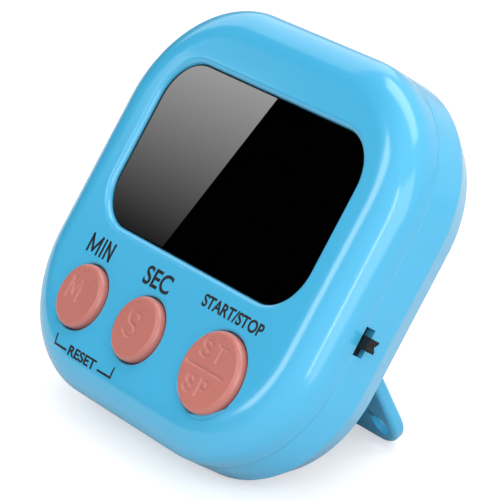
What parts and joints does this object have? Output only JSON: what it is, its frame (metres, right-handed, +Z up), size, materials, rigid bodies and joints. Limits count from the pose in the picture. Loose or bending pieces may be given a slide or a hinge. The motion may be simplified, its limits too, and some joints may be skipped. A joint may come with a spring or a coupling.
{
  "type": "kitchen timer",
  "caption": "Digital kitchen timer: rounded-square case with a display window, round push buttons, a side slide switch, a battery door and a fold-out stand.",
  "frame": {"origin": "centre of the bounding box's bottom, on the surface that the timer stands on, with the stand open", "axes": "+Z up, +X to the right as seen from the front, -Y the side that the face looks towards; the face leans back about 35 degrees"},
  "size_m": [0.076, 0.0522, 0.0644],
  "materials": {
    "case_blue": "moulded gloss ABS",
    "button_salmon": "satin moulded plastic",
    "window_black": "polished tinted lens",
    "lcd_glass": "polished",
    "reflector": "satin foil",
    "foam": "open-cell foam",
    "elastomer": "matte silicone",
    "board_green": "solder resist",
    "epoxy_black": "cured epoxy",
    "bright_steel": "tin plated",
    "chip_tan": "fired ceramic",
    "chip_black": "coated ceramic",
    "screw_steel": "zinc plated",
    "switch_black": "moulded nylon",
    "stem_black": "moulded acetal",
    "magnet_nickel": "nickel plated",
    "cell_wrap": "printed shrink sleeve",
    "contact_nickel": "nickel plated",
    "wire_red": "PVC insulation",
    "wire_black": "PVC insulation",
    "buzzer_brass": "rolled brass",
    "buzzer_white": "silvered ceramic"
  },
  "bodies": {
    "case": {"front_cover": "case_blue", "back_cover": "case_blue", "display_window": "window_black", "lcd_front_glass": "lcd_glass", "lcd_rear_glass": "lcd_glass", "lcd_reflector": "reflector", "lcd_foam_strips": "foam", "lcd_connector": "elastomer", "circuit_board": "board_green", "chip_blob": "epoxy_black", "crystal_can": "bright_steel", "capacitors": "chip_tan", "resistors": "chip_black", "board_screws": "screw_steel", "case_screws": "screw_steel", "tact_switch_bodies": "switch_black", "tact_switch_plates": "bright_steel", "side_switch_body": "switch_black", "side_switch_shell": "bright_steel", "side_switch_pins": "bright_steel", "magnets": "magnet_nickel", "battery_sleeve": "cell_wrap", "battery_can": "bright_steel", "battery_cap": "bright_steel", "positive_contact": "contact_nickel", "negative_contact": "contact_nickel", "battery_spring": "contact_nickel", "positive_wire": "wire_red", "negative_wire": "wire_black", "buzzer_wires": "wire_black", "buzzer_plate": "buzzer_brass", "buzzer_ceramic": "buzzer_white"},
    "minute_key": {"minute_button": "button_salmon", "minute_stem": "stem_black"},
    "second_key": {"second_button": "button_salmon", "second_stem": "stem_black"},
    "start_stop_key": {"start_stop_button": "button_salmon", "start_stop_stem": "stem_black"},
    "side_switch": {"side_switch_knob": "switch_black"},
    "battery_door": {"battery_door": "case_blue"},
    "stand": {"stand": "case_blue"}
  },
  "joints": [
    {"name": "minute_press", "type": "slide", "parent": "case", "child": "minute_key", "axis": [0, 0.8178, -0.5755], "range_m": [0, 0.0008], "stiffness_N_per_m": 1500, "springref_m": -0.0002},
    {"name": "second_press", "type": "slide", "parent": "case", "child": "second_key", "axis": [0, 0.8178, -0.5755], "range_m": [0, 0.0008], "stiffness_N_per_m": 1500, "springref_m": -0.0002},
    {"name": "start_stop_press", "type": "slide", "parent": "case", "child": "start_stop_key", "axis": [0, 0.8178, -0.5755], "range_m": [0, 0.0008], "stiffness_N_per_m": 1500, "springref_m": -0.0002},
    {"name": "side_switch_slide", "type": "slide", "parent": "case", "child": "side_switch", "axis": [0, 0.5755, 0.8178], "range_m": [0, 0.0012]},
    {"name": "battery_door_hinge", "type": "hinge", "parent": "case", "child": "battery_door", "pos_m": [-0.00105, 0.01211, 0.03413], "axis": [-1, 0, 0], "range_deg": [0, 60]},
    {"name": "stand_hinge", "type": "hinge", "parent": "case", "child": "stand", "pos_m": [-0.00105, 0.00335, 0.02299], "axis": [-1, 0, 0], "range_deg": [0, 60.6]}
  ]
}
